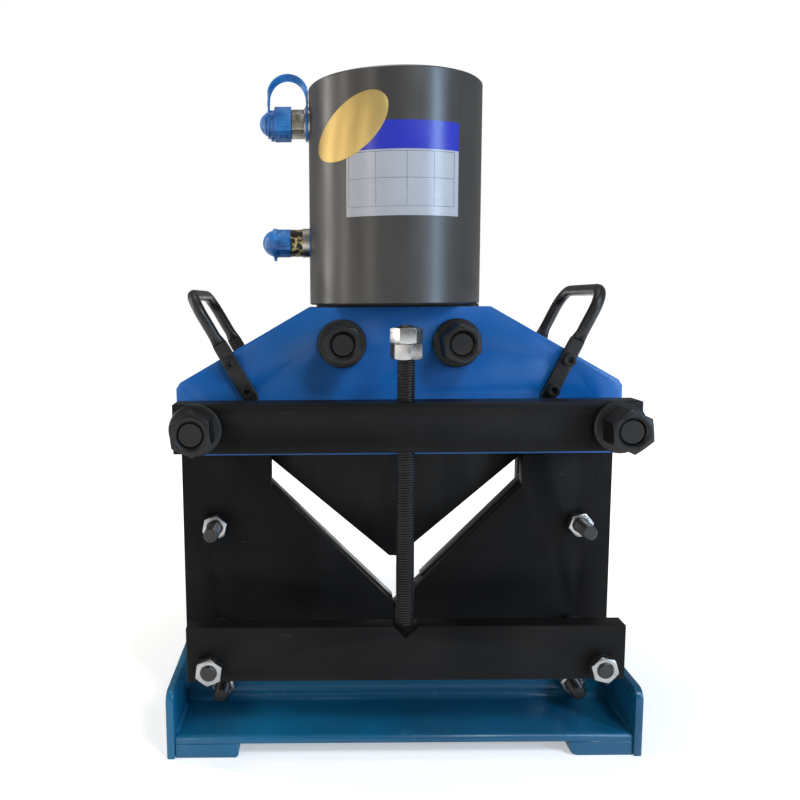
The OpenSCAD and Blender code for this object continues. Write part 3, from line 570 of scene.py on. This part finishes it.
def rounded_foot(piece):
    """The foot's inner lower edge is ground off."""
    inner = min(abs(v.co.x) for v in piece.data.vertices)
    low = min(v.co.z for v in piece.data.vertices)
    size = 0.008 if piece.data.vertices[0].co.x > 0 else 0.004
    alone(piece)
    bpy.ops.object.mode_set(mode="EDIT")
    bpy.ops.mesh.select_all(action="DESELECT")
    mesh = bmesh.from_edit_mesh(piece.data)
    for edge in mesh.edges:
        if all(abs(abs(v.co.x) - inner) < 1e-4 and abs(v.co.z - low) < 1e-4 for v in edge.verts):
            edge.select = True
    bmesh.update_edit_mesh(piece.data)
    bpy.ops.mesh.bevel(offset=size, segments=3, profile=0.5)
    bpy.ops.object.mode_set(mode="OBJECT")


def opened_mouths(piece):
    """The bores of the collar nuts get a wide countersink at their outer ends."""
    turned_collar_nuts(piece)
    rims = []
    for group in islands(piece):
        points = [piece.data.vertices[i].co.copy() for i in group]
        low = Vector([min(p[k] for p in points) for k in range(3)])
        high = Vector([max(p[k] for p in points) for k in range(3)])
        axis_x, axis_z = (low.x + high.x) / 2, (low.z + high.z) / 2
        outer = low.y if low.y + high.y < 0 else high.y
        bore = min(math.hypot(p.x - axis_x, p.z - axis_z) for p in points)
        rims.append((axis_x, axis_z, outer, bore))
    alone(piece)
    bpy.ops.object.mode_set(mode="EDIT")
    bpy.ops.mesh.select_mode(type="EDGE")
    bpy.ops.mesh.select_all(action="DESELECT")
    mesh = bmesh.from_edit_mesh(piece.data)
    for edge in mesh.edges:
        for axis_x, axis_z, outer, bore in rims:
            if all(
                abs(v.co.y - outer) < 0.0002
                and abs(math.hypot(v.co.x - axis_x, v.co.z - axis_z) - bore) < 0.0002
                for v in edge.verts
            ):
                edge.select = True
    bmesh.update_edit_mesh(piece.data)
    bpy.ops.mesh.bevel(offset=0.0024, segments=1)
    bpy.ops.object.mode_set(mode="OBJECT")


for node, finish, width, before in (
    ("front_head_plate", head_blue, 0.0012, None),
    ("rear_head_plate", head_blue, 0.0012, None),
    ("front_die_plate", plate_black, 0.0007, None),
    ("rear_die_plate", plate_black, 0.0007, None),
    ("crossbar", bar_black, 0.0009, None),
    ("support_bar", bar_black, 0.0009, None),
    ("front_base_angle", base_blue, 0.0008, None),
    ("rear_base_angle", base_blue, 0.0008, None),
    ("left_end_plate", base_blue, 0.0012, None),
    ("right_end_plate", base_blue, 0.0012, None),
    ("left_foot_bar", base_blue, 0.0012, rounded_foot),
    ("right_foot_bar", base_blue, 0.0012, rounded_foot),
    ("left_guide", plate_black, 0.0006, None),
    ("right_guide", plate_black, 0.0006, None),
    ("bottom_spacer", plate_black, 0.0006, None),
    ("moving_blade", blade_black, 0.0005, None),
    ("left_fixed_blade", fixed_blade_steel, 0.0004, None),
    ("right_fixed_blade", fixed_blade_steel, 0.0004, None),
    ("clamp_nuts", zinc, 0.0003, turned_clamp_nuts),
    ("jam_nuts", zinc, 0.0003, turned_jam_nuts),
    ("collar_nuts", nut_black, 0.0005, opened_mouths),
    ("upper_dust_cap", cap_blue, 0.0007, None),
    ("lower_dust_cap", cap_blue, 0.0007, None),
    ("upper_coupling", dull_zinc, 0.0006, None),
    ("oval_sticker", gold_film, 0.00006, None),
    ("handle_screws", nut_black, 0.0005, None),
):
    dressed(node, width, finish.material, before=before)

for names, finish in (
    ("cylinder_barrel cylinder_foot cylinder_cover", barrel_grey),
    ("fixed_blade_screws head_studs corner_studs piston_nut crossbar_sleeves", nut_black),
    ("guide_bush", bronze),
    ("cover_seal rod_wiper", rubber),
    ("rod_seal piston_seal", seal_blue),
    ("gland_ring piston blade_pin", ground_steel),
    ("piston_rod", hard_chrome),
    ("lower_coupling_collar upper_coupling_washer", dull_zinc),
    ("lower_coupling", tape),
    ("lower_strap_ring", cap_blue),
    ("table_label", label_film),
):
    for node in names.split():
        nodes[node].data.materials.clear()
        nodes[node].data.materials.append(finish.material)

# Threads

low, high = box_of("hold_down_screw")
axis_x, axis_y = (low.x + high.x) / 2, (low.y + high.y) / 2
screw_pitch = 0.0025
hold_down = threaded_rod(
    "hold_down_thread", (high.x - low.x) / 2, screw_pitch, low.z, high.z, steps=28, chamfer=0.003
)
hold_down.data.transform(Matrix.Translation((axis_x, axis_y, 0)))
hold_down.data.materials.append(screw_black.material)
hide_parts("hold_down_screw")
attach(hold_down, "hold_down")

stud_radius = 0.008
stud_pitch = 0.002
same_stud = 0.017
for node in ("die_studs", "support_studs"):
    verts = nodes[node].data.vertices
    groups = []
    for v in verts:
        for g in groups:
            if abs(v.co.x - g[0].x) < same_stud and abs(v.co.z - g[0].z) < same_stud:
                g.append(v.co)
                break
        else:
            groups.append([v.co])
    rods = []
    for g in groups:
        xs, ys, zs = [p.x for p in g], [p.y for p in g], [p.z for p in g]
        length = max(ys) - min(ys)
        name = f"{node}_thread_{len(rods)}"
        rod = threaded_rod(name, stud_radius, stud_pitch, 0.0, length, steps=20, chamfer=0.0014)
        rods.append(along_y(rod, (max(xs) + min(xs)) / 2, min(ys), (max(zs) + min(zs)) / 2))
    threads = joined(node + "_thread", rods)
    threads.data.materials.append(screw_black.material)
    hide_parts(node)
    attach(threads, "frame")

# Carrying handles


def rounded_box(half_x, half_y, power, count):
    """Points of a rounded rectangle, softer with a lower power."""
    points = []
    for i in range(count):
        a = 2 * math.pi * (i + 0.5) / count
        c, t = math.cos(a), math.sin(a)
        x = half_x * math.copysign(abs(c) ** (2 / power), c)
        y = half_y * math.copysign(abs(t) ** (2 / power), t)
        points.append((x, y))
    return points


def handle(name, node, side, lean):
    """A bent round rod whose ends are forged flat and rounded off where the screws go through."""
    count = 28
    rod, strip, thick = 0.006, 0.00775, 0.003
    plate = box_of("rear_head_plate")[1].y
    middle = (box_of("front_head_plate")[0].y + plate) / 2
    out = plate - middle
    reach, bend, end = 0.1145, 0.024, -0.014
    round_end = (0.25, 0.5, 0.8, 1.1, 1.35, 1.571)
    flat = [(end + strip * (1 - math.cos(a)), strip * math.sin(a)) for a in round_end]
    forged_end, forged_length = 0.0575, 0.009
    flat += [(0.030, strip), (0.050, strip), (0.054, strip * 0.985), (forged_end, strip * 0.96)]
    flat += [(forged_end + 0.001, None), (0.066, None), (reach - bend, None)]

    def ring_at(z, half, y_centre, depth, power):
        return [Vector((x, y_centre + y, z)) for x, y in rounded_box(half, depth, power, count)]

    up = []
    for z, half in flat:
        if half is None:
            share = min(1, max(0, (z - forged_end) / forged_length))
            half_width = strip * 0.94 * (1 - share) + rod * share
            y_centre = out + thick * 1.25 * (1 - share) + rod * share
            half_depth = thick * 1.45 * (1 - share) + rod * share
            up.append(ring_at(z, half_width, y_centre, half_depth, 2.6 - 0.6 * share))
        else:
            up.append(ring_at(z, half, out + thick, thick, 7))
    bend_steps = 8
    for i in range(1, bend_steps + 1):
        a = math.radians(90 * i / bend_steps)
        spine = Vector((0, out + rod - bend + bend * math.cos(a), reach - bend + bend * math.sin(a)))
        side_way, out_way = Vector((1, 0, 0)), Vector((0, math.cos(a), math.sin(a)))
        up.append([spine + side_way * x + out_way * y for x, y in rounded_box(rod, rod, 2, count)])
    half_way = [[Vector((p.x, 0, p.z)) for p in up[-1]]]
    down = [[Vector((p.x, -p.y, p.z)) for p in ring] for ring in reversed(up)]
    piece = swept(name, up + half_way + down)
    turn = Matrix.Rotation(side * lean, 4, "Y")
    screw_x, screw_rise = 0.1565, 0.0667
    low_screw = Vector((side * screw_x, middle, box_of("front_head_plate")[0].z + screw_rise))
    piece.data.transform(Matrix.Translation(low_screw) @ turn)
    piece.data.materials.append(handle_black.material)
    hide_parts(node)
    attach(piece, "frame")


handle("left_bent_handle", "left_handle", -1, math.radians(29.5))
handle("right_bent_handle", "right_handle", 1, math.radians(26.5))

# Cap strap


def band_ring(name, x_from, x_to, r_in, r_out, place):
    """A flat moulded ring along X, for the strap's ends and the ribs of the caps."""
    profile = ((x_from, r_in), (x_from, r_out), (x_to, r_out), (x_to, r_in))
    bpy.ops.object.select_all(action="DESELECT")
    bpy.ops.mesh.primitive_circle_add(vertices=4, radius=0.001, fill_type="NOTHING")
    piece = bpy.context.object
    piece.name = name
    bpy.ops.object.mode_set(mode="EDIT")
    mesh = bmesh.from_edit_mesh(piece.data)
    mesh.verts.ensure_lookup_table()
    for vert, (x, r) in zip(mesh.verts, profile):
        vert.co = (x, 0, r)
    bmesh.update_edit_mesh(piece.data)
    bpy.ops.mesh.select_all(action="SELECT")
    bpy.ops.mesh.spin(steps=48, angle=2 * math.pi, center=(0, 0, 0), axis=(1, 0, 0))
    bpy.ops.mesh.select_all(action="SELECT")
    bpy.ops.mesh.remove_doubles(threshold=0.00001)
    bpy.ops.mesh.normals_make_consistent(inside=False)
    bpy.ops.object.mode_set(mode="OBJECT")
    piece.data.transform(Matrix.Translation(place))
    return bevelled(piece, 0.0004)


strap_low, strap_high = box_of("cap_strap")
cap_low, cap_high = box_of("upper_dust_cap")
coupling_low, coupling_high = box_of("upper_coupling")
axis = Vector((0, (cap_low.y + cap_high.y) / 2, (coupling_low.z + coupling_high.z) / 2))
near_width, near_in, near_out = 0.0030, 0.0165, 0.0183
far_width, far_in, far_out = 0.0024, 0.0132, 0.0151
near = band_ring("strap_near", -near_width, 0, near_in, near_out, axis + Vector((strap_high.x, 0, 0)))
far = band_ring("strap_far", 0, far_width, far_in, far_out, axis + Vector((strap_low.x, 0, 0)))
left_x, right_x = strap_low.x + far_width / 2, strap_high.x - near_width / 2
arch_top = strap_high.z - 0.0012
span = (right_x - left_x) / 2
spine = [(left_x, axis.z + 0.0142), (left_x - 0.0004, axis.z + 0.020)]
turns = [0.0, 0.1]
rise = arch_top - span - axis.z
arch_steps = 14
for i in range(arch_steps + 1):
    a = math.pi * i / arch_steps
    spine.append(((left_x + right_x) / 2 - span * math.cos(a), axis.z + rise + span * math.sin(a)))
    turns.append(0.75 * math.sin(a) ** 0.8 + 0.1)
spine += [(right_x + 0.0003, axis.z + 0.0215), (right_x, axis.z + 0.0172)]
turns += [0.1, 0.0]
band_half, band_thin = 0.0042, 0.0009
band_top = [(1, 0.6), (0.93, 1), (-0.93, 1), (-1, 0.6)]
band_outline = band_top + [(-w, -t) for w, t in band_top]
sections = []
for i, ((x, z), turn) in enumerate(zip(spine, turns)):
    x0, z0 = spine[max(0, i - 1)]
    x1, z1 = spine[min(len(spine) - 1, i + 1)]
    along = Vector((x1 - x0, 0, z1 - z0)).normalized()
    across = Vector((along.z, 0, -along.x))
    wide = Vector((0, 1, 0)) * math.cos(turn) + across * math.sin(turn)
    thin = along.cross(wide)
    middle = Vector((x, axis.y, z))
    sections.append([middle + wide * (w * band_half) + thin * (t * band_thin) for w, t in band_outline])
band = swept("strap_band", sections)
strap = joined("twisted_cap_strap", [band, near, far])
strap.data.materials.append(cap_blue.material)
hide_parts("cap_strap")
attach(strap, "frame")

# Cap ribs and grip pads


def grip_pad(name, length, width, lift):
    """A raised pad with sloped sides for one flat of a moulded cap."""
    bpy.ops.object.select_all(action="DESELECT")
    bpy.ops.mesh.primitive_cube_add(size=1, scale=(length, width, 2 * lift))
    bpy.ops.object.transform_apply(location=False, rotation=False, scale=True)
    piece = bpy.context.object
    piece.name = name
    bpy.ops.object.mode_set(mode="EDIT")
    mesh = bmesh.from_edit_mesh(piece.data)
    for vert in mesh.verts:
        if vert.co.z > 0:
            vert.co.x -= math.copysign(lift, vert.co.x)
            vert.co.y -= math.copysign(lift, vert.co.y)
    bmesh.update_edit_mesh(piece.data)
    bpy.ops.object.mode_set(mode="OBJECT")
    return bevelled(piece, 0.0003)


for node, body, flats in (("upper_dust_cap", "upper_cap", 0.032), ("lower_dust_cap", "lower_cap", 0.026)):
    low, high = box_of(node)
    coupling = box_of(node.replace("dust_cap", "coupling"))
    middle = Vector((0, (coupling[0].y + coupling[1].y) / 2, (coupling[0].z + coupling[1].z) / 2))
    rib_width, rib_sink, rib_lift = 0.0018, 0.0022, 0.0007
    ribs = []
    for from_tip, radius in ((0.0095, 0.0128), (0.0062, 0.0112), (0.0030, 0.0083)):
        name = f"{node}_rib_{len(ribs)}"
        place = middle + Vector((low.x + from_tip, 0, 0))
        ribs.append(band_ring(name, 0, rib_width, radius - rib_sink, radius + rib_lift, place))
    tip_length, pad_length, pad_width = 0.0159, 0.62, 0.36
    hex_from, hex_to = low.x + tip_length, high.x
    pads = [grip_pad(node + "_pad", (hex_to - hex_from) * pad_length, flats * pad_width, rib_lift)]
    for k in range(1, 6):
        one = bpy.data.objects.new(f"{node}_pad_{k}", pads[0].data.copy())
        bpy.context.scene.collection.objects.link(one)
        pads.append(one)
    out = Matrix.Translation(middle + Vector(((hex_from + hex_to) / 2, 0, 0)))
    for k, one in enumerate(pads):
        flat_turn = Matrix.Rotation(math.radians(30 + 60 * k), 4, "X")
        one.data.transform(out @ flat_turn @ Matrix.Translation((0, 0, flats / 2)))
    rib = joined(node + "_ribs", ribs + pads)
    rib.data.materials.append(cap_blue.material)
    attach(rib, body)

# Weld beads


def bead(name, start, end, radius, waves):
    """A weld bead with its ripples between two points."""
    start, end = Vector(start), Vector(end)
    length = (end - start).length
    bpy.ops.object.select_all(action="DESELECT")
    bpy.ops.mesh.primitive_cylinder_add(vertices=12, radius=radius, depth=length, location=(0, 0, 0))
    piece = bpy.context.object
    piece.name = name
    bpy.ops.object.mode_set(mode="EDIT")
    bpy.ops.mesh.select_all(action="SELECT")
    cuts = max(4, waves * 4)
    mesh = bmesh.from_edit_mesh(piece.data)
    upright = [e for e in mesh.edges if abs(e.verts[0].co.z - e.verts[1].co.z) > length / 2]
    bmesh.ops.subdivide_edges(mesh, edges=upright, cuts=cuts)
    for vert in mesh.verts:
        t = vert.co.z / length + 0.5
        ripple = 0.10 * math.sin(2 * math.pi * waves * t)
        drift = 0.14 * noise.noise(Vector((t * waves * 1.7, radius * 900, 0)))
        swell = 1 + ripple + drift
        ends = min(1, 0.35 + 6 * min(t, 1 - t))
        vert.co.x *= swell * ends
        vert.co.y *= swell * ends
    bmesh.update_edit_mesh(piece.data)
    bpy.ops.object.mode_set(mode="OBJECT")
    turn_to = (end - start).to_track_quat("Z", "Y").to_matrix().to_4x4()
    piece.data.transform(Matrix.Translation((start + end) / 2) @ turn_to)
    alone(piece)
    bpy.ops.object.shade_smooth_by_angle(angle=math.radians(60))
    return piece


wall_weld, foot_weld = 0.0034, 0.0028
plate_thick, foot_width = 0.008, 0.064
edge_room, corner_room = 0.006, 0.010
beads = []
for side, angle in (("front", "front_base_angle"), ("rear", "rear_base_angle")):
    low, high = box_of(angle)
    face = -1 if side == "front" else 1
    leg_top = low.z + plate_thick
    inner = high.y if face < 0 else low.y
    outer = low.y if face < 0 else high.y
    for sign in (-1, 1):
        x = sign * high.x
        y_from, y_to = inner + face * 2 * plate_thick, outer - face * edge_room
        wall_y = inner + face * plate_thick
        wall_from, wall_to = leg_top + corner_room, high.z - 2 * plate_thick
        foot_x = sign * (high.x - foot_width)
        for start, end, radius, waves in (
            ((x, y_from, leg_top), (x, y_to, leg_top), wall_weld, 14),
            ((x, wall_y, wall_from), (x, wall_y, wall_to), wall_weld, 10),
            ((foot_x, inner, low.z), (foot_x, y_to, low.z), foot_weld, 18),
        ):
            beads.append(bead(f"weld_{len(beads)}", start, end, radius, waves))
welds = joined("base_welds", beads)
welds.data.materials.append(base_blue.material)
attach(welds, "frame")

# Stage and light

bpy.ops.object.select_all(action="DESELECT")
bpy.ops.mesh.primitive_plane_add(size=24, location=(0, 0, 0))
floor = bpy.context.object
floor.name = "floor"
floor_material = bpy.data.materials.new("pale_floor")
floor_material.use_nodes = True
tree = floor_material.node_tree
tree.nodes["Principled BSDF"].inputs["Base Color"].default_value = (0.86, 0.86, 0.86, 1)
tree.nodes["Principled BSDF"].inputs["Roughness"].default_value = 0.9
tree.nodes["Principled BSDF"].inputs["Specular IOR Level"].default_value = 0.0
tree.nodes["Principled BSDF"].inputs["Emission Color"].default_value = (1, 1, 1, 1)
ray = tree.nodes.new("ShaderNodeLightPath")
place = tree.nodes.new("ShaderNodeTexCoord")
reach = tree.nodes.new("ShaderNodeVectorMath")
reach.operation = "LENGTH"
tree.links.new(place.outputs["Object"], reach.inputs[0])
fade = tree.nodes.new("ShaderNodeMapRange")
fade.inputs["From Min"].default_value = 0.35
fade.inputs["From Max"].default_value = 1.1
fade.inputs["To Min"].default_value = 0.42
fade.inputs["To Max"].default_value = 1.0
tree.links.new(reach.outputs["Value"], fade.inputs["Value"])
seen = tree.nodes.new("ShaderNodeMath")
seen.operation = "MAXIMUM"
tree.links.new(ray.outputs["Is Camera Ray"], seen.inputs[0])
tree.links.new(ray.outputs["Is Glossy Ray"], seen.inputs[1])
glow = tree.nodes.new("ShaderNodeMath")
glow.operation = "MULTIPLY"
tree.links.new(seen.outputs["Value"], glow.inputs[0])
tree.links.new(fade.outputs["Result"], glow.inputs[1])
tree.links.new(glow.outputs["Value"], tree.nodes["Principled BSDF"].inputs["Emission Strength"])
floor.data.materials.append(floor_material)
floor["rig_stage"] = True

world = bpy.data.worlds.new("studio")
bpy.context.scene.world = world
world.use_nodes = True
tree = world.node_tree
tree.nodes.clear()
out = tree.nodes.new("ShaderNodeOutputWorld")
back = tree.nodes.new("ShaderNodeBackground")
back.inputs["Color"].default_value = (1, 1, 1, 1)
ray = tree.nodes.new("ShaderNodeLightPath")
seen = tree.nodes.new("ShaderNodeMath")
seen.operation = "MAXIMUM"
tree.links.new(ray.outputs["Is Camera Ray"], seen.inputs[0])
tree.links.new(ray.outputs["Is Transmission Ray"], seen.inputs[1])
level = tree.nodes.new("ShaderNodeMapRange")
level.inputs["To Min"].default_value = 0.24
level.inputs["To Max"].default_value = 1.0
tree.links.new(seen.outputs["Value"], level.inputs["Value"])
tree.links.new(level.outputs["Result"], back.inputs["Strength"])
tree.links.new(back.outputs["Background"], out.inputs["Surface"])


def softbox(name, place, aim, width, height, power, colour=(1, 1, 1)):
    """A rectangular lamp that faces its aim."""
    data = bpy.data.lights.new(name, "AREA")
    data.color = colour
    data.shape = "RECTANGLE"
    data.size, data.size_y = width, height
    data.energy = power
    lamp = bpy.data.objects.new(name, data)
    bpy.context.scene.collection.objects.link(lamp)
    lamp.location = place
    lamp.rotation_euler = (Vector(aim) - Vector(place)).to_track_quat("-Z", "Y").to_euler()


softbox("key", (0.75, -1.35, 1.75), (0, 0, 0.38), 0.35, 0.5, 15)
softbox("window", (1.25, -1.05, 0.80), (0, 0, 0.5), 0.34, 1.3, 17, (0.52, 0.74, 1.0))
softbox("left", (-1.2, -1.6, 0.9), (0, 0, 0.4), 0.25, 1.3, 4, (1.0, 0.95, 0.88))
softbox("rim", (-1.5, 0.3, 0.8), (0, 0, 0.5), 0.16, 1.3, 9, (1.0, 0.96, 0.9))
softbox("doorway", (-1.6, -0.5, 0.8), (0, 0, 0.5), 0.16, 1.3, 5, (1.0, 0.94, 0.86))
softbox("top", (-0.2, 0.2, 2.2), (0, 0, 0.4), 1.2, 0.8, 7)

bpy.context.scene.view_settings.view_transform = "Standard"

low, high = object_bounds()
